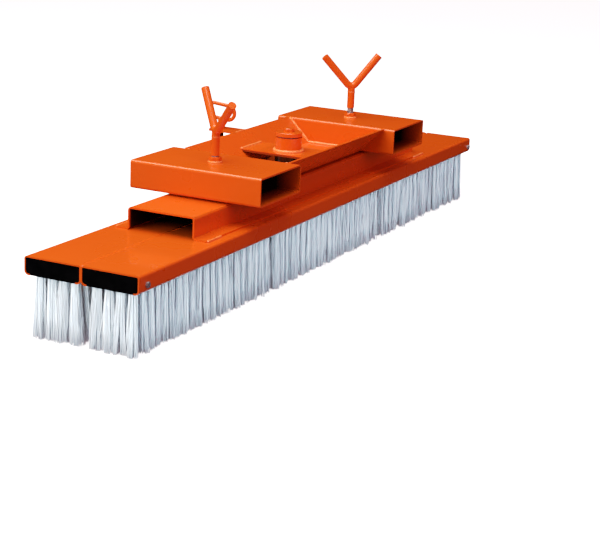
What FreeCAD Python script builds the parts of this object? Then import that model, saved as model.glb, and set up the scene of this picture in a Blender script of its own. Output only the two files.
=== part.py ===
import FreeCAD, Part
import math
import os

# A push broom that a fork truck carries: three lengths of bristle under two folded channels, a hat rail
# on top of them, and a carriage with two fork pockets that swivels on a post and is held by a drop pin.
# Millimetres and degrees. +X runs along the broom, +Y towards the drop pin, +Z up, with Z = 0 on the floor.
# Everything is laid out about the swivel axis and moved at export, so that the origin is the middle of the
# object's footprint.

Vector = FreeCAD.Vector
UP = Vector(0, 0, 1)

# Broom head: channels, blocks and bristle
head_length = 1500.0
channel_width = 114.5
channel_height = 33.5
channel_sheet = 2.5
channel_bend = 2.5
lip_bend = 5.5
lip_width = 11.0
bristle_length = 115.0
blocks_per_channel = 3
block_gap = 0.6
block_clearance = 0.25
block_recess = 1.0
block_top_corner = 2.8
block_lip_corner = 5.8
tuft_rows = 4
tuft_pitch = 23.2
tuft_radius = 8.4
tuft_end_margin = 8.0
tip_splay = 5.0

# Screws that hold the end blocks, M6 with a hexagon head
block_bolt_radius = 3.0
block_bolt_flats = 10.0
block_bolt_head = 4.0
block_bolt_length = 25.0
left_bolt_from_end = 25.0
right_bolt_from_end = 13.0

# Hat rail and the plates on it
hat_length = 994.0
hat_width = 139.0
hat_height = 42.5
hat_foot_reach = 95.0
hat_sheet = 3.0
hat_bend = 3.0
slide_plate_radius = 50.0
slide_plate_thickness = 3.5
index_plate_thickness = 8.0
index_plate_start = 97.0
index_plate_margin = 15.0
index_plate_half_width = 110.0
index_angles = (-30, -15, 0, 15, 30)

# Carriage: fork pockets, trough, boss
pocket_width = 162.0
pocket_height = 54.5
pocket_length = 278.0
pocket_wall = 3.0
pocket_bend = 2.5
pocket_spacing = 600.0
carriage_lift = 0.3
trough_sheet = 4.0
trough_bend = 3.0
trough_half_floor = 62.5
boss_plate_length = 92.0
boss_plate_thickness = 5.0
boss_plate_top_above_trough = 29.0
boss_radius = 27.0
boss_height = 53.0

# Swivel post with its cap and bolt
post_radius = 20.0
running_gap = 0.05
open_gap = 0.4
cap_gap = 3.0
cap_thickness = 8.0
cap_chamfer = 1.0
cap_bolt_radius = 6.0
cap_bolt_flats = 19.0
cap_bolt_head = 7.5
cap_bolt_length = 30.0

# Drop pin, its tab and its loop handle
pin_reach = 164.0
pin_side_step = 8.0
pin_radius = 6.0
pin_clear_of_index = 2.5
pin_hole_gap = 0.5
pin_tip_chamfer = 2.0
tab_width = 41.0
tab_end = 181.0
tab_thickness = 5.0
loop_rod_radius = 4.0
loop_bend = 14.8
loop_straight = 34.0
loop_dip = 5.8
loop_above_tab = 35.0
stop_radius = 2.5
stop_length = 28.0
stop_below_tab = 19.0

# Clamp screws, M14 x 2, in both pockets, a little behind the middle
clamp_set_back = 2.5
spindle_radius = 7.0
spindle_tip_radius = 5.0
spindle_tip_length = 3.2
nut_flats = 22.0
nut_height = 11.0
ceiling_hole_radius = 8.0
bare_thread_when_raised = 11.0
foot_radius = 18.0
foot_thickness = 5.0
foot_socket_depth = 3.5
foot_shoulder_gap = 0.3
foot_below_ceiling = 1.0
lever_rod_radius = 8.0
lever_bend = 12.0
lever_stem_radius = 8.0
lever_stem = 41.5
lever_arm = 94.0
# Each clamp: its side, how far it is screwed down, the arm's direction in plan, half opening and lean of the V
clamps = (
    ("left", -1, 9.0, -125.5, 40.3, 6.1),
    ("right", 1, 0.0, -51.5, 40.3, -1.8),
)

# Levels above the floor
channel_bottom = bristle_length
channel_top = channel_bottom + channel_height
hat_top = channel_top + hat_height
carriage_bottom = hat_top + slide_plate_thickness + carriage_lift
carriage_top = carriage_bottom + pocket_height
trough_floor = carriage_bottom + trough_sheet
boss_plate_top = carriage_bottom + boss_plate_top_above_trough
boss_top = trough_floor + boss_height
post_top = boss_top + cap_gap
index_plate_top = channel_top + index_plate_thickness
pocket_ceiling = carriage_top - pocket_wall

# Distances along X and Y
pocket_inner_face = (pocket_spacing - pocket_width) / 2
trough_half_top = trough_half_floor + pocket_height
index_plate_end = math.hypot(pin_reach, pin_side_step) + index_plate_margin
loop_reach = pin_reach + loop_straight / 2 + loop_bend + loop_rod_radius
footprint_shift = Vector(0, (pocket_length / 2 - loop_reach) / 2, 0)


def unit(vector):
    """The same direction with length 1."""
    return vector / vector.Length


def left_of(direction):
    """The direction turned a quarter turn to the left in its own plane."""
    return Vector(-direction.y, direction.x, 0)


def across_x(x):
    """Places a flat drawing upright across the broom: drawing (a, b) is at (x, a, b)."""
    return lambda point: Vector(x, point.x, point.y)


def across_y(y):
    """Places a flat drawing upright along the broom: drawing (a, b) is at (a, y, b)."""
    return lambda point: Vector(point.x, y, point.y)


def drawn(*pairs):
    """A list of points on the drawing plane."""
    return [Vector(a, b, 0) for a, b in pairs]


def rounded_face(corners, radii, place):
    """A flat face inside a closed outline, each corner rounded by its own radius, or sharp at 0."""
    edges = []
    joints = []
    for i, (corner, radius) in enumerate(zip(corners, radii)):
        back = unit(corners[i - 1] - corner)
        ahead = unit(corners[(i + 1) % len(corners)] - corner)
        half_angle = back.getAngle(ahead) / 2
        if radius == 0:
            joints.append((corner, corner))
            continue
        cut = radius / math.tan(half_angle)
        middle = corner + unit(back + ahead) * (radius / math.sin(half_angle) - radius)
        start = corner + back * cut
        end = corner + ahead * cut
        joints.append((start, end))
        edges.append(Part.Arc(place(start), place(middle), place(end)).toShape())
    for i, (start, end) in enumerate(joints):
        edges.append(Part.LineSegment(place(joints[i - 1][1]), place(start)).toShape())
    return Part.Face(Part.Wire(Part.__sortEdges__(edges)))


def folded_sheet(line, sheet, bends, place, run):
    """A sheet folded along an open line, with its thickness to the line's left, drawn out along run.

    bends holds one inside radius for each fold, in the line's order."""
    other_side = []
    line_radii = []
    other_radii = []
    for i, corner in enumerate(line):
        arrives = left_of(unit(corner - line[i - 1])) if i > 0 else None
        leaves = left_of(unit(line[i + 1] - corner)) if i < len(line) - 1 else None
        if arrives is None or leaves is None:
            other_side.append(corner + (arrives or leaves) * sheet)
            line_radii.append(0)
            other_radii.append(0)
            continue
        other_side.append(corner + (arrives + leaves) * (sheet / (1 + arrives.dot(leaves))))
        bend = bends[i - 1]
        turns_left = arrives.cross(leaves).z > 0
        line_radii.append(bend + sheet if turns_left else bend)
        other_radii.append(bend if turns_left else bend + sheet)
    outline = line + other_side[::-1]
    return rounded_face(outline, line_radii + other_radii[::-1], place).extrude(run)


def tube_section(width, height, corner, place, centre):
    """A rounded rectangle about a centre on the drawing plane."""
    half_width = width / 2
    half_height = height / 2
    corners = [
        centre + Vector(-half_width, -half_height, 0),
        centre + Vector(half_width, -half_height, 0),
        centre + Vector(half_width, half_height, 0),
        centre + Vector(-half_width, half_height, 0),
    ]
    return rounded_face(corners, [corner] * 4, place)


def bar(radius, base, length, axis=UP):
    """A round bar."""
    return Part.makeCylinder(radius, length, base, axis)


def hexagon(flats, height, base, axis=UP):
    """A hexagonal prism with its corners turned off at the far end, as on a bolt head or nut."""
    corner_radius = flats / math.sqrt(3)
    turn = FreeCAD.Rotation(UP, axis)
    points = []
    for i in range(7):
        angle = math.radians(60 * i)
        point = Vector(corner_radius * math.cos(angle), corner_radius * math.sin(angle), 0)
        points.append(base + turn.multVec(point))
    prism = Part.Face(Part.makePolygon(points)).extrude(axis * height)
    slope = corner_radius - flats / 2 * 0.96
    blank = Part.makeCone(corner_radius + height, corner_radius - slope, height + slope * 0.5, base, axis)
    crown = Part.makeCone(corner_radius + slope * 2, flats / 2 * 0.96, height, base, axis)
    return prism.common(blank).common(crown)


def swept_rod(corners, radius, bend):
    """A round rod through three corner points, with a tangent arc at the middle one."""
    first, middle, last = corners
    back = unit(first - middle)
    ahead = unit(last - middle)
    half_angle = back.getAngle(ahead) / 2
    cut = bend / math.tan(half_angle)
    arc_middle = middle + unit(back + ahead) * (bend / math.sin(half_angle) - bend)
    path = Part.Wire([
        Part.LineSegment(first, middle + back * cut).toShape(),
        Part.Arc(middle + back * cut, arc_middle, middle + ahead * cut).toShape(),
        Part.LineSegment(middle + ahead * cut, last).toShape(),
    ])
    profile = Part.Wire(Part.Circle(first, back, radius).toShape())
    return path.makePipeShell([profile], True, False)


def make_channel(side):
    """A C channel, open downwards, with its lips turned in; side is -1 at the front and 1 at the rear."""
    near = min(0, side * channel_width)
    far = near + channel_width
    line = drawn(
        (near + lip_width, channel_bottom),
        (near, channel_bottom),
        (near, channel_top),
        (far, channel_top),
        (far, channel_bottom),
        (far - lip_width, channel_bottom),
    )
    run = Vector(head_length, 0, 0)
    bends = [lip_bend, channel_bend, channel_bend, lip_bend]
    channel = folded_sheet(line[::-1], channel_sheet, bends, across_x(-head_length / 2), run)
    for x in bolt_places():
        hole = bar(block_bolt_radius + open_gap, bolt_start(side, x), channel_sheet, Vector(0, -side, 0))
        channel = channel.cut(hole)
    return channel


def bolt_places():
    """Where along the broom the two end blocks are screwed."""
    return (-head_length / 2 + left_bolt_from_end, head_length / 2 - right_bolt_from_end)


def bolt_start(side, x):
    """The point on the channel's outer face where a block screw enters."""
    return Vector(x, side * channel_width, channel_bottom + channel_height * 0.42)


def make_block(side, index):
    """A brush block: it fills the channel and its underside comes down between the lips."""
    inside = channel_sheet + block_clearance
    near = min(0, side * channel_width)
    far = near + channel_width
    top = channel_top - inside
    shoulder = channel_bottom + inside
    slot = lip_width + block_clearance
    corners = drawn(
        (near + slot, channel_bottom),
        (far - slot, channel_bottom),
        (far - slot, shoulder),
        (far - inside, shoulder),
        (far - inside, top),
        (near + inside, top),
        (near + inside, shoulder),
        (near + slot, shoulder),
    )
    radii = [0, 0, 0, block_lip_corner, block_top_corner, block_top_corner, block_lip_corner, 0]
    start, end = block_span(index)
    block = rounded_face(corners, radii, across_x(start)).extrude(Vector(end - start, 0, 0))
    for x in bolt_places():
        if start < x < end:
            inward = Vector(0, -side, 0)
            depth = block_bolt_length + 1
            block = block.cut(bar(block_bolt_radius + running_gap, bolt_start(side, x), depth, inward))
    return block


def block_span(index):
    """Where block number index starts and ends along the broom; the outer ends sit a little inside."""
    pitch = head_length / blocks_per_channel
    start = -head_length / 2 + index * pitch
    end = start + pitch
    start += block_recess if index == 0 else block_gap / 2
    end -= block_recess if index == blocks_per_channel - 1 else block_gap / 2
    return start, end


def make_bristle_field(side, index):
    """The space that one block's tufts fill, from the block's underside to the floor."""
    start, end = block_span(index)
    centre = side * channel_width / 2
    half_width = (tuft_rows - 1) * tuft_pitch / 2 + tuft_radius
    sections = []
    for height, grow in ((0, tip_splay), (channel_bottom, 0)):
        low_x = start + tuft_end_margin - grow
        high_x = end - tuft_end_margin + grow
        low_y = centre - half_width - grow
        high_y = centre + half_width + grow
        rectangle = [
            Vector(low_x, low_y, height),
            Vector(high_x, low_y, height),
            Vector(high_x, high_y, height),
            Vector(low_x, high_y, height),
            Vector(low_x, low_y, height),
        ]
        sections.append(Part.makePolygon(rectangle))
    return Part.makeLoft(sections, True, True)


def make_block_bolts():
    """The four screws that hold the end blocks, each one solid."""
    bolts = []
    for side in (-1, 1):
        for x in bolt_places():
            outward = Vector(0, side, 0)
            start = bolt_start(side, x)
            head = hexagon(block_bolt_flats, block_bolt_head, start, outward)
            shank = bar(block_bolt_radius, start, block_bolt_length, -outward)
            bolts.append(head.fuse(shank).removeSplitter())
    return Part.makeCompound(bolts)


def make_hat_rail():
    """The hat section along the middle of the two channels."""
    foot_top = channel_top + hat_sheet
    line = drawn(
        (-hat_foot_reach, foot_top),
        (-hat_width / 2, foot_top),
        (-hat_width / 2, hat_top),
        (hat_width / 2, hat_top),
        (hat_width / 2, foot_top),
        (hat_foot_reach, foot_top),
    )
    run = Vector(hat_length, 0, 0)
    return folded_sheet(line[::-1], hat_sheet, [hat_bend] * 4, across_x(-hat_length / 2), run)


def make_slide_plate():
    """The wear plate around the post that the trough turns on."""
    base = Vector(0, 0, hat_top)
    plate = bar(slide_plate_radius, base, slide_plate_thickness)
    return plate.cut(bar(post_radius + open_gap, base, slide_plate_thickness))


def pin_place(angle, height):
    """A point on the drop pin's axis, at the given height, with the carriage swivelled by an angle."""
    rest = Vector(pin_side_step, pin_reach, height)
    return FreeCAD.Rotation(UP, angle).multVec(rest)


def make_index_plate():
    """The plate behind the hat rail with one hole for each angle that the carriage locks at."""
    corner_y = math.sqrt(index_plate_end ** 2 - index_plate_half_width ** 2)
    low_left = Vector(-index_plate_half_width, index_plate_start, channel_top)
    low_right = Vector(index_plate_half_width, index_plate_start, channel_top)
    high_right = Vector(index_plate_half_width, corner_y, channel_top)
    high_left = Vector(-index_plate_half_width, corner_y, channel_top)
    edges = [
        Part.LineSegment(low_left, low_right).toShape(),
        Part.LineSegment(low_right, high_right).toShape(),
        Part.Arc(high_right, Vector(0, index_plate_end, channel_top), high_left).toShape(),
        Part.LineSegment(high_left, low_left).toShape(),
    ]
    plate = Part.Face(Part.Wire(edges)).extrude(UP * index_plate_thickness)
    for angle in index_angles:
        plate = plate.cut(bar(pin_radius + pin_hole_gap, pin_place(angle, channel_top), index_plate_thickness))
    return plate


def make_post():
    """The post welded to the hat rail, tapped at the top for the cap's bolt."""
    post = bar(post_radius, Vector(0, 0, hat_top), post_top - hat_top)
    bore_depth = cap_bolt_length + 3
    return post.cut(bar(cap_bolt_radius + running_gap, Vector(0, 0, post_top - bore_depth), bore_depth))


def make_cap():
    """The disc that keeps the carriage on the post."""
    cap = bar(boss_radius, Vector(0, 0, post_top), cap_thickness)
    rim = [edge for edge in cap.Edges if edge.BoundBox.ZMin > post_top + cap_thickness / 2]
    cap = cap.makeChamfer(cap_chamfer, rim[:1])
    return cap.cut(bar(cap_bolt_radius + open_gap, Vector(0, 0, post_top), cap_thickness))


def make_cap_bolt():
    """The hexagon bolt through the cap into the post."""
    seat = Vector(0, 0, post_top + cap_thickness)
    head = hexagon(cap_bolt_flats, cap_bolt_head, seat)
    shank = bar(cap_bolt_radius, seat, cap_bolt_length, -UP)
    return head.fuse(shank).removeSplitter()


def clamp_place(side, height):
    """A point on a clamp screw's axis."""
    return Vector(side * pocket_spacing / 2, clamp_set_back, height)


def make_pocket(side):
    """A fork pocket: a rectangular tube, open at both ends, with the clamp screw's hole in its roof."""
    centre_x = side * pocket_spacing / 2
    centre = Vector(centre_x, carriage_bottom + pocket_height / 2, 0)
    place = across_y(-pocket_length / 2)
    run = Vector(0, pocket_length, 0)
    outer = tube_section(pocket_width, pocket_height, pocket_bend + pocket_wall, place, centre)
    inner_width = pocket_width - 2 * pocket_wall
    inner_height = pocket_height - 2 * pocket_wall
    inner = tube_section(inner_width, inner_height, pocket_bend, place, centre)
    tube = outer.extrude(run).cut(inner.extrude(run))
    return tube.cut(bar(ceiling_hole_radius, clamp_place(side, pocket_ceiling), pocket_wall))


def make_trough():
    """The folded trough that joins the two pockets, with the post's hole in its floor."""
    line = drawn(
        (-trough_half_top, carriage_top),
        (-trough_half_floor, carriage_bottom),
        (trough_half_floor, carriage_bottom),
        (trough_half_top, carriage_top),
    )
    run = Vector(2 * pocket_inner_face, 0, 0)
    trough = folded_sheet(line, trough_sheet, [trough_bend] * 2, across_x(-pocket_inner_face), run)
    edge_trim = Part.makeBox(
        2 * pocket_inner_face, 4 * trough_half_top, trough_sheet * 2,
        Vector(-pocket_inner_face, -2 * trough_half_top, carriage_top),
    )
    hole = bar(post_radius + open_gap, Vector(0, 0, carriage_bottom), trough_sheet)
    return trough.cut(edge_trim).cut(hole)


def slope_reach(height):
    """Half the clear width of the trough at a height, between its 45 degree sides."""
    return trough_half_floor + (height - carriage_bottom) - trough_sheet * math.sqrt(2)


def make_boss_plate():
    """The crossbar that stiffens the trough around the boss."""
    bottom = boss_plate_top - boss_plate_thickness
    corners = drawn(
        (-slope_reach(bottom), bottom),
        (slope_reach(bottom), bottom),
        (slope_reach(boss_plate_top), boss_plate_top),
        (-slope_reach(boss_plate_top), boss_plate_top),
    )
    run = Vector(boss_plate_length, 0, 0)
    plate = rounded_face(corners, [0] * 4, across_x(-boss_plate_length / 2)).extrude(run)
    return plate.cut(bar(boss_radius, Vector(0, 0, bottom), boss_plate_thickness))


def make_boss():
    """The tube that turns on the post."""
    base = Vector(0, 0, trough_floor)
    return bar(boss_radius, base, boss_height).cut(bar(post_radius + running_gap, base, boss_height))


def make_lock_tab():
    """The plate behind the trough that holds the drop pin; its front edge lies on the trough's slope."""
    bottom = carriage_top - tab_thickness
    corners = drawn(
        (trough_half_top - tab_thickness, bottom),
        (tab_end, bottom),
        (tab_end, carriage_top),
        (trough_half_top, carriage_top),
    )
    run = Vector(tab_width, 0, 0)
    tab = rounded_face(corners, [0] * 4, across_x(pin_side_step - tab_width / 2)).extrude(run)
    return tab.cut(bar(pin_radius + running_gap, pin_place(0, bottom), tab_thickness))


def make_clamp_nuts():
    """The two nuts welded over the holes in the pockets' roofs."""
    nuts = []
    for side in (-1, 1):
        seat = clamp_place(side, carriage_top)
        nut = hexagon(nut_flats, nut_height, seat)
        nuts.append(nut.cut(bar(spindle_radius + running_gap, seat, nut_height)))
    return Part.makeCompound(nuts)


def half_loop(centre, along, over):
    """Half of the loop handle's oval: one bend and half of each straight run; over is square to along."""
    end = centre + along * (loop_straight / 2)
    pieces = []
    for sign in (-1, 1):
        start = centre + over * (sign * loop_bend)
        pieces.append(bar(loop_rod_radius, start, loop_straight / 2, along))
    circle = Part.Wire(Part.Circle(end + over * loop_bend, along, loop_rod_radius).toShape())
    pieces.append(Part.Face(circle).revolve(end, over.cross(along), 180))
    return pieces


def make_loop_handle():
    """The closed oval loop on top of the drop pin."""
    centre = pin_place(0, carriage_top + loop_above_tab)
    dip = math.radians(loop_dip)
    along = Vector(0, -math.cos(dip), -math.sin(dip))
    over = Vector(0, -math.sin(dip), math.cos(dip))
    pieces = half_loop(centre, along, over) + half_loop(centre, -along, over)
    return pieces[0].multiFuse(pieces[1:]).removeSplitter()


def make_drop_pin(loop, stop):
    """The drop pin, shaped to the loop at its top and drilled for its cross pin."""
    bottom = index_plate_top + pin_clear_of_index
    top = carriage_top + loop_above_tab - loop_bend
    tip = Part.makeCone(pin_radius - pin_tip_chamfer, pin_radius, pin_tip_chamfer, pin_place(0, bottom), UP)
    shank = bar(pin_radius, pin_place(0, bottom + pin_tip_chamfer), top - bottom - pin_tip_chamfer)
    return tip.fuse(shank).removeSplitter().cut(loop).cut(stop)


def make_pin_stop():
    """The cross pin that keeps the drop pin from being pulled out of the tab."""
    start = pin_place(0, carriage_top - tab_thickness - stop_below_tab) - Vector(stop_length / 2, 0, 0)
    return bar(stop_radius, start, stop_length, Vector(1, 0, 0))


def foot_top(screwed_down):
    """The height of a clamp foot's upper face."""
    return pocket_ceiling - foot_below_ceiling - screwed_down


def make_clamp_foot(side, screwed_down):
    """The pressure foot that the spindle turns in; it only moves up and down."""
    top = foot_top(screwed_down)
    foot = bar(foot_radius, clamp_place(side, top - foot_thickness), foot_thickness)
    socket = bar(spindle_tip_radius + running_gap, clamp_place(side, top - foot_socket_depth), foot_socket_depth)
    return foot.cut(socket)


def make_spindle(side, screwed_down):
    """The clamp spindle: a thread with a turned tip that stands in the foot."""
    top = foot_top(screwed_down)
    shoulder = top + foot_shoulder_gap
    tip_bottom = clamp_place(side, top - spindle_tip_length)
    tip = bar(spindle_tip_radius, tip_bottom, spindle_tip_length + foot_shoulder_gap)
    thread = bar(spindle_radius, clamp_place(side, shoulder), stem_bottom(screwed_down) - shoulder)
    return tip.fuse(thread).removeSplitter()


def stem_bottom(screwed_down):
    """The height where the lever's stem starts on top of the spindle."""
    return carriage_top + nut_height + bare_thread_when_raised - screwed_down


def make_lever(side, screwed_down, heading, half_opening, lean):
    """The Y lever: a straight stem with a V of bent rod on it."""
    base = clamp_place(side, stem_bottom(screwed_down))
    fork = base + UP * lever_stem
    turn = math.radians(heading)
    outward = Vector(math.cos(turn), math.sin(turn), 0)
    tips = []
    for sign in (1, -1):
        angle = math.radians(half_opening + sign * lean)
        tips.append(fork + outward * (sign * lever_arm * math.sin(angle)) + UP * (lever_arm * math.cos(angle)))
    arms = swept_rod([tips[0], fork, tips[1]], lever_rod_radius, lever_bend)
    stem = bar(lever_stem_radius, base, lever_stem)
    collar_ball = Part.makeSphere(lever_stem_radius, fork)
    return arms.fuse(stem).fuse(collar_ball).removeSplitter()


def build():
    """Every node of the broom, by name."""
    nodes = {}
    for name, side in (("front", -1), ("rear", 1)):
        nodes[f"{name}_channel"] = make_channel(side)
        for index, place in enumerate(("left", "middle", "right")):
            nodes[f"{name}_{place}_block"] = make_block(side, index)
            nodes[f"{name}_{place}_bristle"] = make_bristle_field(side, index)
    nodes["block_bolts"] = make_block_bolts()
    nodes["hat_rail"] = make_hat_rail()
    nodes["slide_plate"] = make_slide_plate()
    nodes["index_plate"] = make_index_plate()
    nodes["swivel_post"] = make_post()
    nodes["post_cap"] = make_cap()
    nodes["cap_bolt"] = make_cap_bolt()

    nodes["left_fork_pocket"] = make_pocket(-1)
    nodes["right_fork_pocket"] = make_pocket(1)
    nodes["trough_bridge"] = make_trough()
    nodes["boss_plate"] = make_boss_plate()
    nodes["swivel_boss"] = make_boss()
    nodes["lock_tab"] = make_lock_tab()
    nodes["clamp_nuts"] = make_clamp_nuts()

    loop = make_loop_handle()
    stop = make_pin_stop()
    nodes["drop_pin"] = make_drop_pin(loop, stop)
    nodes["drop_pin_loop"] = loop
    nodes["drop_pin_stop"] = stop

    for name, side, screwed_down, heading, half_opening, lean in clamps:
        nodes[f"{name}_clamp_foot"] = make_clamp_foot(side, screwed_down)
        nodes[f"{name}_clamp_spindle"] = make_spindle(side, screwed_down)
        nodes[f"{name}_clamp_lever"] = make_lever(side, screwed_down, heading, half_opening, lean)
    return nodes


def main():
    os.makedirs("parts", exist_ok=True)
    for name, shape in build().items():
        moved = shape.copy()
        moved.translate(footprint_shift)
        moved.exportStep(f"parts/{name}.step")
        print(name, "valid" if moved.isValid() else "INVALID", len(moved.Solids), round(moved.Volume))


main()
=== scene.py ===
import math

import bpy
import numpy as np
from mathutils import Matrix, Vector


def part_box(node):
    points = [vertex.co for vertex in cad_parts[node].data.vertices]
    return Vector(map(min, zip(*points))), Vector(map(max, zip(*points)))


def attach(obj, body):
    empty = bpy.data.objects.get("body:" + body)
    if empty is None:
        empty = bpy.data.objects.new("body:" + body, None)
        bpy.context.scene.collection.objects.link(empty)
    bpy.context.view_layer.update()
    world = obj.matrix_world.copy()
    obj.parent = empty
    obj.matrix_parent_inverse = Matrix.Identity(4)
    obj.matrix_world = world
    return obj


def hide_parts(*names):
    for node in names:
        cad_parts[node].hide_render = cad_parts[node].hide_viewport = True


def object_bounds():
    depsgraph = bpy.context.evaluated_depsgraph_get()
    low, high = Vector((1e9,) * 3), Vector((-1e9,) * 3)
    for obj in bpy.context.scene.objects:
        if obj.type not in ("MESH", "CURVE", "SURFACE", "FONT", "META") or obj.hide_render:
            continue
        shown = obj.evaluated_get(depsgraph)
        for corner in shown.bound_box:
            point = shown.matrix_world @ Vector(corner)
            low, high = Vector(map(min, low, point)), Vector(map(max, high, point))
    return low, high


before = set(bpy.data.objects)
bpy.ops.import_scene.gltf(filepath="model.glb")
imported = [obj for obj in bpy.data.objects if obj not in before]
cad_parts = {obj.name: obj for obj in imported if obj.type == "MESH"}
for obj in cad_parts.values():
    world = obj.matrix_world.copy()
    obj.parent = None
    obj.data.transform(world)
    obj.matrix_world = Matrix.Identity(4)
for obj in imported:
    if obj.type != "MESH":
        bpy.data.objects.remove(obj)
cad_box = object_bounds()

# Metres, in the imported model's frame: +X runs along the broom, +Y towards the drop pin,
# +Z is up and the floor is at Z = 0.
MM = 0.001
UP = Vector((0, 0, 1))
FIELDS = ("front", "rear")
BLOCKS = ("left", "middle", "right")
CLAMPS = ("left", "right")
CENTRE_Y = sum(corner.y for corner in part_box("swivel_post")) / 2

# Sheets and half widths of the folded parts, which their boxes don't give.
POCKET_WALL = 3 * MM
HAT_SHEET = 3 * MM
HAT_HALF_WIDTH = 69.5 * MM
TROUGH_SHEET = 4 * MM
TROUGH_HALF_FLOOR = 62.5 * MM
TROUGH_HALF_TOP = 117 * MM
LEVER_STEM = 41.5 * MM


def middle_of(node):
    low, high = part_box(node)
    return (low + high) / 2


# ---------------------------------------------------------------- node helpers

def new_material(name, roughness, metallic=0.0):
    """A material and its Principled shader."""
    material = bpy.data.materials.new(name)
    material.use_nodes = True
    shader = material.node_tree.nodes["Principled BSDF"]
    shader.inputs["Roughness"].default_value = roughness
    shader.inputs["Metallic"].default_value = metallic
    return material, shader


def link(material, out_socket, in_socket):
    material.node_tree.links.new(out_socket, in_socket)


def noise(material, cells, detail=3.0, stretch=(1, 1, 1)):
    """A noise value over the object: cells to the metre, and a stretch for each axis."""
    nodes = material.node_tree.nodes
    place = nodes.new("ShaderNodeTexCoord")
    mapping = nodes.new("ShaderNodeMapping")
    mapping.inputs["Scale"].default_value = stretch
    link(material, place.outputs["Object"], mapping.inputs["Vector"])
    pattern = nodes.new("ShaderNodeTexNoise")
    pattern.inputs["Scale"].default_value = cells
    pattern.inputs["Detail"].default_value = detail
    link(material, mapping.outputs["Vector"], pattern.inputs["Vector"])
    return pattern.outputs["Fac"]


def axis_values(material):
    """The X, Y and Z sockets of the object coordinates."""
    place = material.node_tree.nodes.new("ShaderNodeTexCoord")
    split = material.node_tree.nodes.new("ShaderNodeSeparateXYZ")
    link(material, place.outputs["Object"], split.inputs["Vector"])
    return split.outputs


def remap(material, value, low, high, to_low=0.0, to_high=1.0):
    """A value taken from low..high to to_low..to_high and held at the ends."""
    node = material.node_tree.nodes.new("ShaderNodeMapRange")
    numbers = {"From Min": low, "From Max": high, "To Min": to_low, "To Max": to_high}
    for name, number in numbers.items():
        node.inputs[name].default_value = number
    link(material, value, node.inputs["Value"])
    return node.outputs["Result"]


def product(material, first, second):
    """The product of two value sockets."""
    node = material.node_tree.nodes.new("ShaderNodeMath")
    node.operation = "MULTIPLY"
    link(material, first, node.inputs[0])
    link(material, second, node.inputs[1])
    return node.outputs["Value"]


def mix_colour(material, factor, first, second):
    """A mix of two colours, each three numbers or a socket."""
    node = material.node_tree.nodes.new("ShaderNodeMix")
    node.data_type = "RGBA"
    link(material, factor, node.inputs["Factor"])
    colour_inputs = [socket for socket in node.inputs if socket.type == "RGBA"]
    for socket, colour in zip(colour_inputs, (first, second)):
        if isinstance(colour, tuple):
            socket.default_value = (*colour, 1.0)
        else:
            link(material, colour, socket)
    return next(socket for socket in node.outputs if socket.type == "RGBA")


def add_bump(material, shader, height, strength, distance):
    """Bump from a height value; distance is how deep the relief is."""
    node = material.node_tree.nodes.new("ShaderNodeBump")
    node.inputs["Strength"].default_value = strength
    node.inputs["Distance"].default_value = distance
    link(material, height, node.inputs["Height"])
    link(material, node.outputs["Normal"], shader.inputs["Normal"])


# ---------------------------------------------------------------- finishes

ORANGE = (0.74, 0.092, 0.005)
ORANGE_SHADE = (0.71, 0.085, 0.0045)
# Painted shade: a near-black put into the coat inside bores and tunnels and on the pin below its tab, where
# shade falls.
PAINTED_SHADE_BLACK = (0.012, 0.006, 0.005)
# Painted highlight: the weld beads are a paler orange than the coat, so they look lit from every side.
WELD_HIGHLIGHT_ORANGE = (0.92, 0.24, 0.07)
WELD_HIGHLIGHT_TINT = (0.80, 0.13, 0.025)
PLASTIC_BLACK = (0.0008, 0.0008, 0.001)
WEAR_BLACK = (0.012, 0.012, 0.013)
ZINC_DARK = (0.26, 0.265, 0.27)
ZINC_LIGHT = (0.55, 0.56, 0.57)
STEEL_DARK = (0.2, 0.2, 0.2)
STEEL_LIGHT = (0.42, 0.41, 0.4)
BRISTLE_SHADE = (0.80, 0.85, 0.93)
BRISTLE_WHITE = (0.95, 0.98, 1.0)
BRISTLE_DUST = (0.52, 0.53, 0.56)

# Cells of noise to the metre.
COAT_TINT_CELLS = 6.0
COAT_SHEEN_CELLS = 12.0
COAT_RIPPLE_CELLS = 40.0
PLASTIC_MOTTLE_CELLS = 60.0
PLASTIC_SHEEN_CELLS = 25.0
METAL_CLOUD_CELLS = 90.0
METAL_MARK_CELLS = 250.0
BRISTLE_TONE_CELLS = 330.0
BRISTLE_GRAIN_CELLS = 900.0

DUSTY_LENGTH = 10 * MM
DUST_SHARE = 0.12


def box_mask(material, low, high, fades):
    """1 inside a box in object coordinates and 0 outside, with a fade inside the faces of each axis."""
    values = axis_values(material)
    mask = None
    for axis, fade in enumerate(fades):
        enters = remap(material, values[axis], low[axis], low[axis] + fade)
        leaves = remap(material, values[axis], high[axis] - fade, high[axis], 1.0, 0.0)
        inside = product(material, enters, leaves)
        mask = product(material, mask, inside) if mask else inside
    return mask


def powder_coat(name, shade_box=None, main=ORANGE, second=ORANGE_SHADE):
    """Gloss powder coat. Its second argument gives a box, low corner, high corner and fades, where painted
    shade darkens the colour to near black.
    """
    material, shader = new_material(name, 0.3)
    shader.inputs["Specular IOR Level"].default_value = 0.3
    shader.inputs["Coat Weight"].default_value = 0.45
    shader.inputs["Coat Roughness"].default_value = 0.07
    tint = remap(material, noise(material, COAT_TINT_CELLS), 0.2, 0.8)
    colour = mix_colour(material, tint, main, second)
    # Painted shade: the colour goes near black inside the box.
    if shade_box:
        colour = mix_colour(material, box_mask(material, *shade_box), colour, PAINTED_SHADE_BLACK)
    link(material, colour, shader.inputs["Base Color"])
    sheen = remap(material, noise(material, COAT_SHEEN_CELLS), 0.1, 0.9, 0.24, 0.32)
    link(material, sheen, shader.inputs["Roughness"])
    add_bump(material, shader, noise(material, COAT_RIPPLE_CELLS, 1.0), 0.1, 0.2 * MM)
    return material


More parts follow.
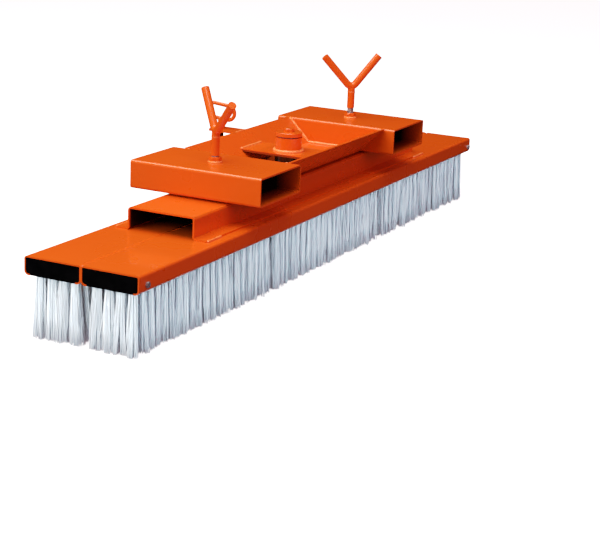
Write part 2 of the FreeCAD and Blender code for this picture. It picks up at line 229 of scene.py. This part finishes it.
def moulded_plastic(name, colour, roughness, grain_cells):
    """Dull moulded plastic with a fine grain."""
    material, shader = new_material(name, roughness)
    shader.inputs["Specular IOR Level"].default_value = 0.03
    lighter = tuple(channel * 2.0 + 0.0005 for channel in colour)
    mottle = remap(material, noise(material, PLASTIC_MOTTLE_CELLS, 5.0), 0.35, 0.75)
    link(material, mix_colour(material, mottle, colour, lighter), shader.inputs["Base Color"])
    clouds = noise(material, PLASTIC_SHEEN_CELLS)
    sheen = remap(material, clouds, 0.3, 0.7, roughness - 0.08, roughness + 0.08)
    link(material, sheen, shader.inputs["Roughness"])
    add_bump(material, shader, noise(material, grain_cells, 3.0), 0.25, 0.3 * MM)
    return material


def bright_metal(name, dark, light, roughness, grain=(1, 1, 1)):
    """Zinc plate or turned steel: a metal with cloudy tone and fine marks."""
    material, shader = new_material(name, roughness, metallic=0.6)
    clouds = remap(material, noise(material, METAL_CLOUD_CELLS, 4.0), 0.35, 0.7)
    link(material, mix_colour(material, clouds, dark, light), shader.inputs["Base Color"])
    marks = noise(material, METAL_MARK_CELLS, 3.0, grain)
    sheen = remap(material, marks, 0.3, 0.7, roughness - 0.1, roughness + 0.12)
    link(material, sheen, shader.inputs["Roughness"])
    add_bump(material, shader, marks, 0.15, 0.1 * MM)
    return material


def drawn_bristle(name):
    """White plastic bristle: the tone changes from strand to strand, and the tips are a little dusty."""
    material, shader = new_material(name, 0.42)
    shader.inputs["Specular IOR Level"].default_value = 0.4
    shader.inputs["Subsurface Weight"].default_value = 0.7
    shader.inputs["Subsurface Radius"].default_value = (1.0, 1.0, 1.0)
    shader.inputs["Subsurface Scale"].default_value = 3 * MM
    tone = remap(material, noise(material, BRISTLE_TONE_CELLS, 2.0, (1, 1, 0.03)), 0.3, 0.7)
    colour = mix_colour(material, tone, BRISTLE_SHADE, BRISTLE_WHITE)
    dust = remap(material, axis_values(material)["Z"], 0.0, DUSTY_LENGTH, DUST_SHARE, 0.0)
    colour = mix_colour(material, dust, colour, BRISTLE_DUST)
    link(material, colour, shader.inputs["Base Color"])
    grain = noise(material, BRISTLE_GRAIN_CELLS, 1.0, (1, 1, 0.05))
    add_bump(material, shader, grain, 0.2, 0.1 * MM)
    return material


# ---------------------------------------------------------------- where shade is painted into the coat

WALL_FADE = 0.4 * MM
HAT_TOP_FADE = 0.2 * MM
PIN_FADE = 0.5 * MM
POCKET_MOUTH_FADE = 50 * MM
HAT_MOUTH_FADE = 7 * MM
CHANNEL_FADE = 100 * MM
CHANNEL_DEPTH = 5 * MM
TUNNEL_MOUTH_FADE = 4 * MM
TUNNEL_REACH = 3 * MM
TUNNEL_ROOF = 0.8 * MM
TROUGH_TUNNEL_HALF = 60 * MM
PLATE_TUNNEL_HALF = 90 * MM
PIN_MARGIN = 1 * MM


def pocket_bore_shade(node):
    """The bore of a fork pocket, which runs along Y, from half way through its wall: painted shade darkens
    it to near black, fading in from the mouths.
    """
    low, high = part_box(node)
    inset = Vector((POCKET_WALL / 2, 0, POCKET_WALL / 2))
    return low + inset, high - inset, (WALL_FADE, POCKET_MOUTH_FADE, WALL_FADE)


def hat_bore_shade(below, mouth_fade):
    """The tunnel under the hat rail, and what is below it to a given depth: painted shade darkens the hat's
    inside and the channel tops under it.
    """
    low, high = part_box("hat_rail")
    half_width = HAT_HALF_WIDTH - HAT_SHEET / 2
    bore_low = Vector((low.x, CENTRE_Y - half_width, low.z - below))
    bore_high = Vector((high.x, CENTRE_Y + half_width, high.z - HAT_SHEET / 2))
    return bore_low, bore_high, (mouth_fade, WALL_FADE, HAT_TOP_FADE)


def boss_tunnel_shade(half_width):
    """The low tunnel between the boss plate and the trough's floor, out to a half width in Y: painted shade
    darkens it to near black.
    """
    plate_low, plate_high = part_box("boss_plate")
    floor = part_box("trough_bridge")[0].z + TROUGH_SHEET / 2
    low = Vector((plate_low.x - TUNNEL_REACH, CENTRE_Y - half_width, floor))
    high = Vector((plate_high.x + TUNNEL_REACH, CENTRE_Y + half_width, plate_high.z - TUNNEL_ROOF))
    return low, high, (TUNNEL_MOUTH_FADE, WALL_FADE, WALL_FADE)


def pin_shank_shade():
    """The drop pin below its tab, where painted shade makes it near black."""
    low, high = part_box("drop_pin")
    tab_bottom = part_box("lock_tab")[0].z
    shank_low = low - Vector((PIN_MARGIN, PIN_MARGIN, PIN_MARGIN))
    shank_high = Vector((high.x + PIN_MARGIN, high.y + PIN_MARGIN, tab_bottom))
    return shank_low, shank_high, (PIN_FADE, PIN_FADE, PIN_FADE)


# ---------------------------------------------------------------- materials of the slots and nodes

materials = {
    "orange_paint": powder_coat("orange_powder_coat"),
    # Painted highlight: a paler coat on the weld beads.
    "weld_paint": powder_coat("weld_coat_painted_highlight", main=WELD_HIGHLIGHT_ORANGE, second=WELD_HIGHLIGHT_TINT),
    "black_plastic": moulded_plastic("black_moulded_plastic", PLASTIC_BLACK, 0.6, 500.0),
    "white_bristle": drawn_bristle("white_drawn_bristle"),
    "zinc_plate": bright_metal("bright_zinc_plate", ZINC_DARK, ZINC_LIGHT, 0.3),
    "bare_steel": bright_metal("greased_turned_steel", STEEL_DARK, STEEL_LIGHT, 0.35, (1, 1, 8)),
    "wear_plastic": moulded_plastic("black_wear_plastic", WEAR_BLACK, 0.6, 300.0),
}
node_materials = {
    "swivel_post": materials["bare_steel"],
    "slide_plate": materials["wear_plastic"],
    "block_bolts": materials["zinc_plate"],
    "drop_pin_stop": materials["zinc_plate"],
    "drop_pin": powder_coat("drop_pin_coat", pin_shank_shade()),
    "hat_rail": powder_coat("hat_rail_coat", hat_bore_shade(0, HAT_MOUTH_FADE)),
}
# Painted shade: the channel tops under the hat rail go near black, fading in from the mouths.
channel_coat = powder_coat("channel_coat", hat_bore_shade(CHANNEL_DEPTH, CHANNEL_FADE))
for field in FIELDS:
    node_materials[f"{field}_channel"] = channel_coat
    for block in BLOCKS:
        node_materials[f"{field}_{block}_block"] = materials["black_plastic"]
        node_materials[f"{field}_{block}_bristle"] = materials["white_bristle"]
for side in CLAMPS:
    node_materials[f"{side}_clamp_foot"] = materials["zinc_plate"]
    node_materials[f"{side}_clamp_spindle"] = materials["zinc_plate"]
    pocket = f"{side}_fork_pocket"
    node_materials[pocket] = powder_coat(f"{side}_pocket_coat", pocket_bore_shade(pocket))
# Painted shade in the low tunnel under the boss plate, on the trough, the plate and the boss.
for name, half_width in (
    ("trough_bridge", TROUGH_TUNNEL_HALF),
    ("boss_plate", PLATE_TUNNEL_HALF),
    ("swivel_boss", PLATE_TUNNEL_HALF),
):
    node_materials[name] = powder_coat(name + "_coat", boss_tunnel_shade(half_width))
for name, cad_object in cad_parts.items():
    for material_slot in cad_object.material_slots:
        material_slot.material = node_materials.get(name, materials["orange_paint"])


# ---------------------------------------------------------------- mesh helpers

def add_piece(mesh, finish, body, instead_of=()):
    """Makes a mesh a piece of its own name, on a body and a material slot, that may stand for CAD nodes."""
    mesh.materials.append(materials[finish])
    piece = bpy.data.objects.new(mesh.name, mesh)
    bpy.context.scene.collection.objects.link(piece)
    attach(piece, body)
    if instead_of:
        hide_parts(*instead_of)
    return piece


def smooth_mesh(name, points, faces):
    """A mesh from lists of points and faces, shaded smooth."""
    mesh = bpy.data.meshes.new(name)
    mesh.from_pydata(points, [], faces)
    mesh.validate()
    mesh.polygons.foreach_set("use_smooth", [True] * len(mesh.polygons))
    return mesh


def array_mesh(name, points, quads, triangles):
    """A mesh from arrays of points, four-sided faces shaded smooth and three-sided faces left flat."""
    mesh = bpy.data.meshes.new(name)
    mesh.vertices.add(len(points))
    mesh.vertices.foreach_set("co", points.astype(np.float32).ravel())
    corners = np.concatenate([quads.ravel(), triangles.ravel()]).astype(np.int32)
    quad_starts = np.arange(len(quads)) * 4
    triangle_starts = len(quads) * 4 + np.arange(len(triangles)) * 3
    starts = np.concatenate([quad_starts, triangle_starts]).astype(np.int32)
    smooth = np.concatenate([np.ones(len(quads), bool), np.zeros(len(triangles), bool)])
    mesh.loops.add(len(corners))
    mesh.loops.foreach_set("vertex_index", corners)
    mesh.polygons.add(len(starts))
    mesh.polygons.foreach_set("loop_start", starts)
    mesh.polygons.foreach_set("use_smooth", smooth)
    mesh.update(calc_edges=True)
    mesh.validate()
    return mesh


def tube_sides(rings, sides, closed=False):
    """Quads between rings of points, and from the last ring to the first where the tube is closed."""
    faces = []
    for ring in range(rings if closed else rings - 1):
        low = ring * sides
        high = (ring + 1) % rings * sides
        for side in range(sides):
            following = (side + 1) % sides
            faces.append((low + side, low + following, high + following, high + side))
    return faces


def tube_ends(rings, sides):
    """The faces that cap the first and last ring of points."""
    last = (rings - 1) * sides
    return [tuple(reversed(range(sides))), tuple(range(last, last + sides))]


# ---------------------------------------------------------------- bristles

TUFT_ROWS = 4
TUFTS_ALONG = 21
TUFT_RADIUS = 8.1 * MM
TUFT_END_MARGIN = 18.5 * MM
ROW_SPAN = 69.6 * MM
STRANDS_PER_TUFT = 108
CLUMPS_PER_TUFT = 7
STRAND_RADIUS = 0.85 * MM
STRAND_RINGS = 4
STRAND_SIDES = 3
STRAND_TAPER = 0.1
STRAND_CURVE = 1.25
ROOT_DEPTH = 4 * MM
TIP_CLEARANCE = 0.1 * MM
BLOCK_END_GAP = 5.0 * MM
FIRST_SEED = 100

# Spreads of the random draws: how far tufts, clumps and strands lean, bow and are worn.
TUFT_LEAN = 1.4 * MM
CLUMP_LEAN = 2.1 * MM
CLUMP_WEAR = 1.6 * MM
STRAND_FAN = (0.05, 0.6)
STRAND_LEAN = 1.5 * MM
STRAND_WEAR = 0.8 * MM
STRAND_BOW = 1.1 * MM
END_RAGGEDNESS = 1.5 * MM
STRAY_SHARE = 0.02
STRAY_LEAN = 7 * MM
STRAY_LIFT = 10 * MM
SPLAYED_SHARE = 0.05
SPLAYED_LOW = (14 * MM, -30 * MM)
SPLAYED_HIGH = (34 * MM, -4 * MM)
SPLAYED_LENGTH = (0.5, 0.85)


def tuft_centres(block_low, block_high):
    """The X and Y of each tuft under a block, as an array, row by row."""
    tufts_x = np.linspace(block_low.x + TUFT_END_MARGIN, block_high.x - TUFT_END_MARGIN, TUFTS_ALONG)
    middle_y = (block_low.y + block_high.y) / 2
    tufts_y = middle_y + np.linspace(-ROW_SPAN / 2, ROW_SPAN / 2, TUFT_ROWS)
    grid_x, grid_y = np.meshgrid(tufts_x, tufts_y)
    return np.stack([grid_x.ravel(), grid_y.ravel()], axis=1)


def draw_strands(tufts, block_low, block_high, splays, seed):
    """Each strand's root, its turn about the tuft, how far its tip moves, its bow and its length.

    The strands of a clump lean and wear together. A few strays lean further and hang shorter, and
    where the block splays, a few at its right end stand out past it.
    """
    random = np.random.default_rng(seed)
    count = len(tufts) * STRANDS_PER_TUFT
    clumps = len(tufts) * CLUMPS_PER_TUFT
    tuft_of = np.repeat(np.arange(len(tufts)), STRANDS_PER_TUFT)
    tuft_lean = random.normal(0, TUFT_LEAN, tufts.shape)
    radius = TUFT_RADIUS * np.sqrt(random.random(count))
    angle = random.random(count) * 2 * math.pi
    root = tufts[tuft_of] + np.stack([radius * np.cos(angle), radius * np.sin(angle)], axis=1)
    clump_of = tuft_of * CLUMPS_PER_TUFT + (angle / (2 * math.pi) * CLUMPS_PER_TUFT).astype(int)
    clump_lean = random.normal(0, CLUMP_LEAN, (clumps, 2))
    clump_wear = np.abs(random.normal(0, CLUMP_WEAR, clumps))

    fan = random.uniform(*STRAND_FAN, count)[:, None]
    spread = (root - tufts[tuft_of]) * fan
    spread += tuft_lean[tuft_of] + clump_lean[clump_of] + random.normal(0, STRAND_LEAN, (count, 2))
    strays = random.random(count) < STRAY_SHARE
    spread[strays] += random.normal(0, STRAY_LEAN, (strays.sum(), 2))
    tip_x = root[:, 0] + spread[:, 0]
    edge = BLOCK_END_GAP + random.exponential(END_RAGGEDNESS, count)
    spread[:, 0] = np.clip(tip_x, block_low.x + edge, block_high.x - edge) - root[:, 0]
    if splays:
        splayed = (root[:, 0] > tufts[:, 0].max()) & (random.random(count) < SPLAYED_SHARE)
        spread[splayed] += random.uniform(SPLAYED_LOW, SPLAYED_HIGH, (splayed.sum(), 2))

    bow = random.normal(0, STRAND_BOW, (count, 2))
    strand_wear = np.abs(random.normal(0, STRAND_WEAR, count))
    length = block_low.z - clump_wear[clump_of] - strand_wear - TIP_CLEARANCE
    length[strays] -= random.uniform(0, STRAY_LIFT, strays.sum())
    if splays:
        length[splayed] *= random.uniform(*SPLAYED_LENGTH, splayed.sum())
    return root, angle, spread, bow, length


def strand_points(strands, top):
    """The points of every strand, ring by ring from inside the block down to the tip."""
    root, angle, spread, bow, length = strands
    low, high = cad_box
    columns = []
    for ring in range(STRAND_RINGS):
        share = ring / (STRAND_RINGS - 1)
        centre = root + spread * share ** STRAND_CURVE + bow * math.sin(math.pi * share)
        height = top + ROOT_DEPTH * (1 - share) - length * share
        width = STRAND_RADIUS * (1.0 - STRAND_TAPER * share)
        for side in range(STRAND_SIDES):
            turn = angle + 2 * math.pi * side / STRAND_SIDES
            x = centre[:, 0] + width * np.cos(turn)
            y = np.clip(centre[:, 1] + width * np.sin(turn), low[1], high[1])
            z = np.maximum(height, TIP_CLEARANCE)
            columns.append(np.stack([x, y, z], axis=1))
    return np.stack(columns, axis=1).reshape(-1, 3)


def repeated(faces, offsets):
    """One strand's faces, repeated for every strand."""
    pattern = np.array(faces)
    return (pattern[None, :, :] + offsets[:, None, None]).reshape(-1, pattern.shape[1])


def bristle_field(field, block, seed):
    """One block's bristles: round tufts that fan out and mingle, with ragged tips and a few strays."""
    node = f"{field}_{block}_bristle"
    block_low, block_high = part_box(f"{field}_{block}_block")
    tufts = tuft_centres(block_low, block_high)
    strands = draw_strands(tufts, block_low, block_high, block == "right", seed)
    points = strand_points(strands, block_low.z)
    offsets = np.arange(len(tufts) * STRANDS_PER_TUFT) * STRAND_RINGS * STRAND_SIDES
    quads = repeated(tube_sides(STRAND_RINGS, STRAND_SIDES), offsets)
    triangles = repeated(tube_ends(STRAND_RINGS, STRAND_SIDES), offsets)
    mesh = array_mesh(node + "_tufts", points, quads, triangles)
    return add_piece(mesh, "white_bristle", "broom_head", (node,))


bristles = []
for field in FIELDS:
    for block in BLOCKS:
        bristles.append(bristle_field(field, block, FIRST_SEED + len(bristles)))


# ---------------------------------------------------------------- clamp threads

THREAD_PITCH = 2.0 * MM
THREAD_DEPTH = 1.1 * MM
THREAD_STEEPNESS = 2.4
THREAD_ROOT = 0.15
THREAD_STEPS = 8
THREAD_SIDES = 32
TIP_LENGTH = 3.5 * MM
TIP_RADIUS = 5.0 * MM
TIP_BEVEL = 0.8 * MM


def threaded_spindle(side):
    """The clamp spindle with its thread cut: crests at the CAD radius, and the turned tip below."""
    node = f"{side}_clamp_spindle"
    low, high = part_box(node)
    middle = middle_of(node)
    crest = (high.x - low.x) / 2
    shoulder = low.z + TIP_LENGTH
    rings = [
        (low.z, TIP_RADIUS - TIP_BEVEL, 0.0),
        (low.z + TIP_BEVEL, TIP_RADIUS, 0.0),
        (shoulder, TIP_RADIUS, 0.0),
    ]
    steps = int((high.z - shoulder) / THREAD_PITCH * THREAD_STEPS)
    for step in range(steps + 1):
        rings.append((shoulder + (high.z - shoulder) * step / steps, crest, THREAD_DEPTH))
    points = []
    for height, radius, depth in rings:
        for number in range(THREAD_SIDES):
            angle = 2 * math.pi * number / THREAD_SIDES
            phase = (height / THREAD_PITCH - number / THREAD_SIDES) % 1.0
            cut = min(1.0, max(0.0, THREAD_STEEPNESS * abs(phase - 0.5) - THREAD_ROOT))
            reach = radius - depth * cut
            points.append((middle.x + reach * math.cos(angle), middle.y + reach * math.sin(angle), height))
    faces = tube_sides(len(rings), THREAD_SIDES) + tube_ends(len(rings), THREAD_SIDES)
    mesh = smooth_mesh(node + "_thread", points, faces)
    add_piece(mesh, "zinc_plate", f"{side}_clamp_screw", (node,))


for side in CLAMPS:
    threaded_spindle(side)


# ---------------------------------------------------------------- weld beads

WELD_SIDES = 10
WELD_STEP = 0.55 * MM
RIPPLE_LENGTH = 3.2 * MM
RIPPLE_SWELL = 0.16
LONG_WAVE = 7.3 * MM
LONG_SWELL = 0.10
SHORT_WAVE = 2.9 * MM
SHORT_SWELL = 0.05
PHASE_RANGE = 10
END_WIDTH = 0.35


def walk(corners, closed):
    """Points at even steps along a line of corners."""
    stops = [Vector(corner) for corner in corners]
    if closed:
        stops.append(stops[0])
    places = []
    for start, end in zip(stops, stops[1:]):
        run = end - start
        count = max(1, round(run.length / WELD_STEP))
        places += [start + run * (step / count) for step in range(count)]
    if not closed:
        places.append(stops[-1])
    return places


def bead_width(travelled, phase):
    """A bead's width at a distance along it, as a share of the nominal width: ripples and a slow waver."""
    ripple = (travelled / RIPPLE_LENGTH) % 1.0
    swell = 1.0 + RIPPLE_SWELL * math.sqrt(max(0.0, 1 - (2 * ripple - 1) ** 2)) - RIPPLE_SWELL / 2
    waver = 1.0 + LONG_SWELL * math.sin(travelled / LONG_WAVE + phase)
    waver += SHORT_SWELL * math.sin(travelled / SHORT_WAVE)
    return swell * waver


def weld_bead(name, corners, width, body, seed, closed=False, flatten=1.0, finish="weld_paint"):
    """A weld bead along corners: overlapping ripples, uneven in width, thinner at an open end."""
    places = walk(corners, closed)
    count = len(places)
    phase = np.random.default_rng(seed).random() * PHASE_RANGE
    points = []
    travelled = 0.0
    for number, place in enumerate(places):
        ahead = places[(number + 1) % count] if closed or number < count - 1 else place
        behind = places[number - 1] if closed or number > 0 else place
        along = (ahead - behind).normalized()
        across = along.cross(UP).normalized()
        out = across.cross(along).normalized()
        if number:
            travelled += (place - places[number - 1]).length
        radius = width / 2 * bead_width(travelled, phase)
        if not closed:
            to_end = min(number, count - 1 - number) * WELD_STEP
            radius *= END_WIDTH + (1 - END_WIDTH) * min(1.0, to_end / (width / 2))
        for side in range(WELD_SIDES):
            angle = 2 * math.pi * side / WELD_SIDES
            sideways = across * (radius * math.cos(angle))
            outwards = out * (radius * flatten * math.sin(angle))
            points.append(place + sideways + outwards)
    faces = tube_sides(count, WELD_SIDES, closed)
    if not closed:
        faces += tube_ends(count, WELD_SIDES)
    add_piece(smooth_mesh(name, points, faces), finish, body)


def along_x(start_x, end_x, y, z):
    """The two corners of a bead that runs along X."""
    return [(start_x, y, z), (end_x, y, z)]


def circle(centre, radius, count=48):
    """Corners of a circle that lies flat."""
    turns = [2 * math.pi * number / count for number in range(count)]
    return [centre + Vector((radius * math.cos(turn), radius * math.sin(turn), 0)) for turn in turns]


STITCH_LENGTH = 52 * MM
STITCH_INSET = 2 * MM
STITCH_WIDTH = 5.0 * MM
STITCH_RISE = 1.0 * MM
FOOT_OFFSET = 0.6 * MM
SEAM_INSET = 2 * MM
SEAM_WIDTH = 5.2 * MM
SEAM_DEPTH = 1.9 * MM
INDEX_BEAD_INSET = 4 * MM
INDEX_BEAD_WIDTH = 5.0 * MM


def weld_the_head():
    """Stitches at the ends of the hat rail's feet, the channels' seam and the index plate's bead."""
    hat_low, hat_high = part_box("hat_rail")
    left_start = hat_low.x + STITCH_INSET
    right_start = hat_high.x - STITCH_INSET - STITCH_LENGTH
    height = hat_low.z + STITCH_RISE
    for side, edge_y in (("front", hat_low.y - FOOT_OFFSET), ("rear", hat_high.y + FOOT_OFFSET)):
        for place, start in (("left", left_start), ("right", right_start)):
            corners = along_x(start, start + STITCH_LENGTH, edge_y, height)
            weld_bead(f"hat_stitch_{side}_{place}", corners, STITCH_WIDTH, "broom_head", seed=11)

    # The seam is ground nearly flush and has the plain coat, without the beads' painted highlight.
    low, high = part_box("front_channel")
    corners = along_x(low.x + SEAM_INSET, high.x - SEAM_INSET, CENTRE_Y, hat_low.z - SEAM_DEPTH)
    weld_bead("channel_seam", corners, SEAM_WIDTH, "broom_head", seed=12, flatten=0.5, finish="orange_paint")

    low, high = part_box("index_plate")
    start_x = low.x + INDEX_BEAD_INSET
    end_x = high.x - INDEX_BEAD_INSET
    corners = along_x(start_x, end_x, low.y - FOOT_OFFSET, hat_low.z + HAT_SHEET)
    weld_bead("index_plate_bead", corners, INDEX_BEAD_WIDTH, "broom_head", seed=13)


TROUGH_BEAD_WIDTH = 6.0 * MM
TROUGH_BEAD_INSET = 1.2 * MM
TROUGH_BEAD_DROP = 1 * MM
TROUGH_TOP_INSET = 2 * MM
TROUGH_FLOOR_REACH = 0.5 * MM
RING_OFFSET = 0.8 * MM
BOSS_BEAD_WIDTH = 7.5 * MM
BOSS_BEAD_RISE = 0.8 * MM
PLATE_BEAD_INSET = 2 * MM
PLATE_BEAD_WIDTH = 5.0 * MM
NUT_BEAD_WIDTH = 4.6 * MM
NUT_BEAD_RISE = 0.6 * MM
TAB_BEAD_INSET = 1 * MM
TAB_BEAD_WIDTH = 4.0 * MM


def weld_the_trough():
    """Beads where the trough's ends meet the pockets: down one side, across the floor and up the other."""
    low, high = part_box("trough_bridge")
    floor = low.z + TROUGH_SHEET
    half_floor = TROUGH_HALF_FLOOR + TROUGH_SHEET - TROUGH_SHEET * math.sqrt(2)
    half_top = half_floor + (high.z - floor)
    top_y = half_top - TROUGH_TOP_INSET
    floor_y = half_floor + TROUGH_FLOOR_REACH
    top_z = high.z - TROUGH_BEAD_DROP
    floor_z = floor + TROUGH_BEAD_DROP
    ends = (("left", low.x + TROUGH_BEAD_INSET, 21), ("right", high.x - TROUGH_BEAD_INSET, 22))
    for side, x, seed in ends:
        corners = [
            (x, CENTRE_Y - top_y, top_z),
            (x, CENTRE_Y - floor_y, floor_z),
            (x, CENTRE_Y + floor_y, floor_z),
            (x, CENTRE_Y + top_y, top_z),
        ]
        weld_bead(f"trough_bead_{side}", corners, TROUGH_BEAD_WIDTH, "carriage", seed)


def weld_the_fittings():
    """Beads round the boss and the clamp nuts, and along the boss plate and the lock tab."""
    low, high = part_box("boss_plate")
    boss_low, boss_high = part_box("swivel_boss")
    boss = middle_of("swivel_boss")
    centre = Vector((boss.x, boss.y, high.z + BOSS_BEAD_RISE))
    ring = circle(centre, (boss_high.x - boss_low.x) / 2 + RING_OFFSET)
    weld_bead("boss_bead", ring, BOSS_BEAD_WIDTH, "carriage", seed=23, closed=True)
    for side, y in (("front", low.y), ("rear", high.y)):
        corners = along_x(low.x + PLATE_BEAD_INSET, high.x - PLATE_BEAD_INSET, y, high.z)
        weld_bead(f"boss_plate_bead_{side}", corners, PLATE_BEAD_WIDTH, "carriage", seed=24)

    low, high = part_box("clamp_nuts")
    nut_radius = (high.y - low.y) / 2
    for side in CLAMPS:
        spindle = middle_of(f"{side}_clamp_spindle")
        centre = Vector((spindle.x, spindle.y, low.z + NUT_BEAD_RISE))
        ring = circle(centre, nut_radius + RING_OFFSET)
        weld_bead(f"nut_bead_{side}", ring, NUT_BEAD_WIDTH, "carriage", seed=25, closed=True)

    low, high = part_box("lock_tab")
    root_y = CENTRE_Y + TROUGH_HALF_TOP
    corners = along_x(low.x + TAB_BEAD_INSET, high.x - TAB_BEAD_INSET, root_y, high.z)
    weld_bead("lock_tab_bead", corners, TAB_BEAD_WIDTH, "carriage", seed=26, flatten=0.5)


HANDLE_BEAD_CORNERS = 32
FORK_BEAD_RADIUS = 7.2 * MM
FORK_BEAD_WIDTH = 2.6 * MM
FORK_BEAD_DROP = 6.5 * MM
LOOP_BEAD_RADIUS = 5.4 * MM
LOOP_BEAD_WIDTH = 3.6 * MM
LOOP_BEAD_RISE = 2.2 * MM


def weld_the_handles():
    """The beads that hold the V on each clamp's stem and the loop on the drop pin."""
    for side in CLAMPS:
        spindle = middle_of(f"{side}_clamp_spindle")
        stem_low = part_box(f"{side}_clamp_lever")[0].z
        fork = Vector((spindle.x, spindle.y, stem_low + LEVER_STEM - FORK_BEAD_DROP))
        ring = circle(fork, FORK_BEAD_RADIUS, HANDLE_BEAD_CORNERS)
        weld_bead(f"lever_bead_{side}", ring, FORK_BEAD_WIDTH, f"{side}_clamp_screw", seed=31, closed=True)
    pin = middle_of("drop_pin")
    loop_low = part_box("drop_pin_loop")[0].z
    centre = Vector((pin.x, pin.y, loop_low + LOOP_BEAD_RISE))
    ring = circle(centre, LOOP_BEAD_RADIUS, HANDLE_BEAD_CORNERS)
    weld_bead("drop_pin_bead", ring, LOOP_BEAD_WIDTH, "lock_pin", seed=32, closed=True)


weld_the_head()
weld_the_trough()
weld_the_fittings()
weld_the_handles()


# ---------------------------------------------------------------- camera, floor and light

# The camera looks down on the front left corner.
CAMERA_PLACE = (-2.935, -1.5074, 0.882)
CAMERA_RIGHT = (0.45009, -0.89197, 0.04163)
CAMERA_UP = (0.22574, 0.15875, 0.96120)
CAMERA_BACK = (-0.86400, -0.42320, 0.27280)
CAMERA_LENS = 97.94
SENSOR_WIDTH = 36.0
FAR_CLIP = 100.0

FLOOR_HALF = 30.0
FLOOR_CELLS = 3.0
FLOOR_GREYS = ((0.80, 0.80, 0.80), (0.82, 0.82, 0.82))
FLOOR_GLOW = 1.25
WORLD_COLOUR = (1.0, 0.68, 0.82, 1.0)
WORLD_STRENGTH = 0.35

# Each light: name, place, target, size in metres, watts, colour.
WARM_WHITE = (1.0, 0.96, 0.9)
KEY_LIGHT = ("key_overhead", (-0.6, 0.3, 2.6), (0, 0, 0.2), (3.0, 2.4), 132, WARM_WHITE)
FILL_LIGHTS = (
    ("fill_left", (-2.8, 0.9, 1.3), (0, 0, 0.15), (1.8, 1.2), 54, WARM_WHITE),
    ("fill_front", (-0.5, -2.8, 1.3), (0, 0, 0.15), (2.6, 1.2), 19, (1.0, 0.26, 0.55)),
)
BRISTLE_MIDDLE = (0, 0, 0.06)
COOL_WHITE = (0.72, 0.92, 1.0)
BRISTLE_LIGHTS = (
    ("bristle_fill_front", (-0.6, -2.6, 0.5), BRISTLE_MIDDLE, (3.0, 0.8), 65, (0.48, 0.90, 1.0)),
    ("bristle_fill_left", (-3.0, -0.3, 0.4), BRISTLE_MIDDLE, (1.6, 0.6), 92, (0.78, 0.94, 1.0)),
    ("bristle_fill_rear", (0.9, 2.8, 0.6), BRISTLE_MIDDLE, (3.0, 0.8), 70, COOL_WHITE),
    ("bristle_fill_right", (3.0, 0.6, 0.5), BRISTLE_MIDDLE, (1.6, 0.6), 70, COOL_WHITE),
)

WHITE_LEVEL = 1.6
TONE_STEPS = ((0.2, 0.2), (0.42, 0.42), (0.7, 0.62), (1.15, 0.82))


def add_camera():
    data = bpy.data.cameras.new("camera")
    data.lens = CAMERA_LENS
    data.sensor_width = SENSOR_WIDTH
    data.clip_end = FAR_CLIP
    camera = bpy.data.objects.new("camera", data)
    axes = Matrix((CAMERA_RIGHT, CAMERA_UP, CAMERA_BACK)).transposed()
    camera.matrix_world = axes.to_4x4()
    camera.location = CAMERA_PLACE
    bpy.context.scene.collection.objects.link(camera)
    bpy.context.scene.camera = camera


def add_area_light(name, place, target, size, watts, colour):
    """An area light that faces its target."""
    data = bpy.data.lights.new(name, "AREA")
    data.shape = "RECTANGLE"
    data.size, data.size_y = size
    data.energy = watts
    data.color = colour
    light = bpy.data.objects.new(name, data)
    bpy.context.scene.collection.objects.link(light)
    light.location = place
    facing = Vector(target) - Vector(place)
    light.rotation_euler = facing.to_track_quat("-Z", "Y").to_euler()
    return light


def shine_only_on(light, pieces):
    """Keeps a light to some pieces, as a flag beside a lamp would."""
    lit = bpy.data.collections.new(light.name + "_receivers")
    for piece in pieces:
        lit.objects.link(piece)
    light.light_linking.receiver_collection = lit


def add_lights():
    """The key, two fills that the gloss doesn't mirror, and four that light only the bristles."""
    add_area_light(*KEY_LIGHT)
    for row in FILL_LIGHTS:
        add_area_light(*row).visible_glossy = False
    for row in BRISTLE_LIGHTS:
        shine_only_on(add_area_light(*row), bristles)


def add_floor():
    """A glowing pale floor that neither glossy nor diffuse rays see, so that it doesn't flood the object."""
    half = FLOOR_HALF
    mesh = bpy.data.meshes.new("floor")
    corners = [(-half, -half, 0), (half, -half, 0), (half, half, 0), (-half, half, 0)]
    mesh.from_pydata(corners, [], [(0, 1, 2, 3)])
    material, shader = new_material("pale_floor", 0.9)
    grain = remap(material, noise(material, FLOOR_CELLS), 0.3, 0.7)
    link(material, mix_colour(material, grain, *FLOOR_GREYS), shader.inputs["Base Color"])
    shader.inputs["Specular IOR Level"].default_value = 0.0
    shader.inputs["Emission Color"].default_value = (1, 1, 1, 1)
    shader.inputs["Emission Strength"].default_value = FLOOR_GLOW
    mesh.materials.append(material)
    floor = bpy.data.objects.new("floor", mesh)
    bpy.context.scene.collection.objects.link(floor)
    floor.visible_glossy = False
    floor.visible_diffuse = False


def add_world():
    world = bpy.data.worlds.new("studio")
    world.use_nodes = True
    background = world.node_tree.nodes["Background"]
    background.inputs["Color"].default_value = WORLD_COLOUR
    background.inputs["Strength"].default_value = WORLD_STRENGTH
    bpy.context.scene.world = world
    world.cycles_visibility.glossy = False


def set_tone():
    """A film-like tone curve for all channels: straight in the darks, with a soft shoulder."""
    view = bpy.context.scene.view_settings
    view.view_transform = "Standard"
    view.look = "None"
    view.use_curve_mapping = True
    mapping = view.curve_mapping
    mapping.white_level = (WHITE_LEVEL, WHITE_LEVEL, WHITE_LEVEL)
    all_channels = mapping.curves[3]
    for level, shown in TONE_STEPS:
        all_channels.points.new(level / WHITE_LEVEL, shown)
    mapping.update()


add_camera()
add_floor()
add_world()
add_lights()
set_tone()
